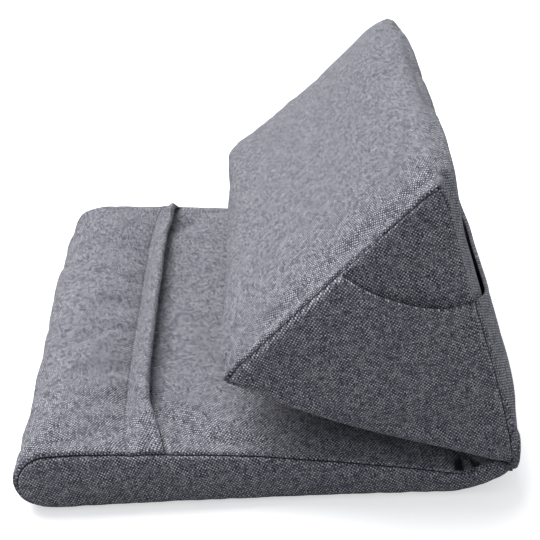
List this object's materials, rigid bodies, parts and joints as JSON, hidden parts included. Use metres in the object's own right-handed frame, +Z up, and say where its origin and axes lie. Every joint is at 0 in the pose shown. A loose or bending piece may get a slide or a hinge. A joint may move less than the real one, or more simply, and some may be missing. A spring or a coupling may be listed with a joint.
{
  "type": "tablet cushion",
  "caption": "Padded tablet stand: a flat base pillow with a sewn lip, and a wedge pillow with side and back pockets that turns on the base's rear seam.",
  "frame": {"origin": "on the surface the cushion lies on, midway between its sides and midway between the nose and the hinge line", "axes": "+X across the cushion towards its right side seen from the front, +Y from the nose to the rear hinge seam, +Z up"},
  "size_m": [0.324, 0.2493, 0.17],
  "materials": {
    "heather_cloth": "heathered blue-grey woven cloth, matt",
    "foam": "soft open-cell foam, matt",
    "seam_tape": "woven tape, matt",
    "zip_coil": "nylon coil, satin",
    "zip_metal": "dark nickel plated, smooth"
  },
  "bodies": {
    "base": {"base_front_panel": "heather_cloth", "base_top_panel": "heather_cloth", "base_bottom_panel": "heather_cloth", "base_gusset_right": "heather_cloth", "base_gusset_left": "heather_cloth", "base_foam": "foam", "ledge_lip_cover": "heather_cloth", "ledge_lip_filler": "foam", "base_hinge_tape": "seam_tape"},
    "wedge": {"wedge_wrap_panel": "heather_cloth", "wedge_side_right": "heather_cloth", "wedge_side_left": "heather_cloth", "wedge_underside_front": "heather_cloth", "wedge_underside_rear": "heather_cloth", "wedge_foam": "foam", "wedge_hinge_tape": "seam_tape", "side_pocket_right": "heather_cloth", "side_pocket_left": "heather_cloth", "back_pocket": "heather_cloth", "zip_tape_front": "seam_tape", "zip_tape_rear": "seam_tape", "zip_coil": "zip_coil"},
    "slider": {"zip_slider": "zip_metal"},
    "puller": {"zip_puller": "zip_metal"}
  },
  "joints": [
    {"name": "wedge_hinge", "type": "hinge", "parent": "base", "child": "wedge", "pos_m": [0, 0.12, 0.0147], "axis": [1, 0, 0], "range_deg": [-95, 7]},
    {"name": "zip_slide", "type": "slide", "parent": "wedge", "child": "slider", "axis": [1, 0, 0], "range_m": [-0.21, 0]},
    {"name": "puller_hinge", "type": "hinge", "parent": "slider", "child": "puller", "pos_m": [0.106, -0.0024, 0.0532], "axis": [0, -0.8833, 0.4688], "range_deg": [0, 180]}
  ]
}
